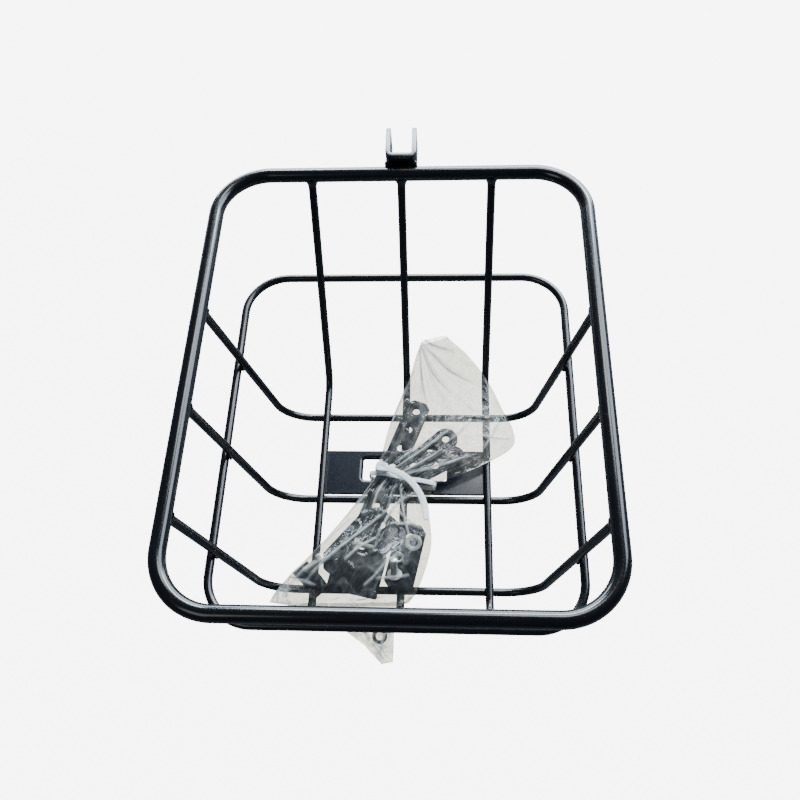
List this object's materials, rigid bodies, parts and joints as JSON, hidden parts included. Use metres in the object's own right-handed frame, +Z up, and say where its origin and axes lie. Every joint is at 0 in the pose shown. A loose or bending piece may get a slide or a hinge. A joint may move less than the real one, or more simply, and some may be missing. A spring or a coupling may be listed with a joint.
{
  "type": "handlebar basket",
  "caption": "Open wire bicycle basket of black steel rod under a tube rim, with stem bracket, base plate and its bagged fitting kit.",
  "frame": {"origin": "middle of the whole outline on plan, on the floor that the basket stands on", "axes": "+Z up, +Y towards the handlebar stem (the bracket's end), +X to the rider's right"},
  "size_m": [0.3156, 0.414, 0.2051],
  "materials": {
    "rim_paint": "black satin-gloss stoved paint on steel tube",
    "rod_paint": "black satin stoved paint on steel rod",
    "plate_paint": "blue-black satin stoved paint on steel sheet",
    "bag_film": "clear polyethylene film, glossy and creased",
    "tie_nylon": "natural white nylon",
    "fitting_paint": "blue-black satin paint on steel strip",
    "zinc_plate": "bright zinc plate",
    "rubber": "black rubber"
  },
  "bodies": {
    "basket": {"rim_tube": "rim_paint", "side_ring": "rod_paint", "long_wire_left": "rod_paint", "long_wire_middle": "rod_paint", "long_wire_right": "rod_paint", "cross_wire_back": "rod_paint", "cross_wire_middle": "rod_paint", "cross_wire_front": "rod_paint", "base_plate": "plate_paint", "stem_bracket": "plate_paint"},
    "fitting_kit": {"kit_bag": "bag_film", "cable_tie": "tie_nylon", "stay_strap_short": "fitting_paint", "stay_strap_long": "fitting_paint", "lamp_strap": "fitting_paint", "clamp_plate": "fitting_paint", "carrier_plate": "fitting_paint", "fork_channel": "fitting_paint", "saddle_clamp": "fitting_paint", "flange_bolt": "zinc_plate", "clamp_bolt_left": "zinc_plate", "clamp_bolt_right": "zinc_plate", "loose_washer": "zinc_plate", "flange_nut": "zinc_plate", "rubber_washer": "rubber"}
  },
  "joints": [
    {"name": "kit_slide", "type": "slide", "parent": "basket", "child": "fitting_kit", "axis": [0, 0.27, 0.9629], "range_m": [0, 0.26]}
  ]
}
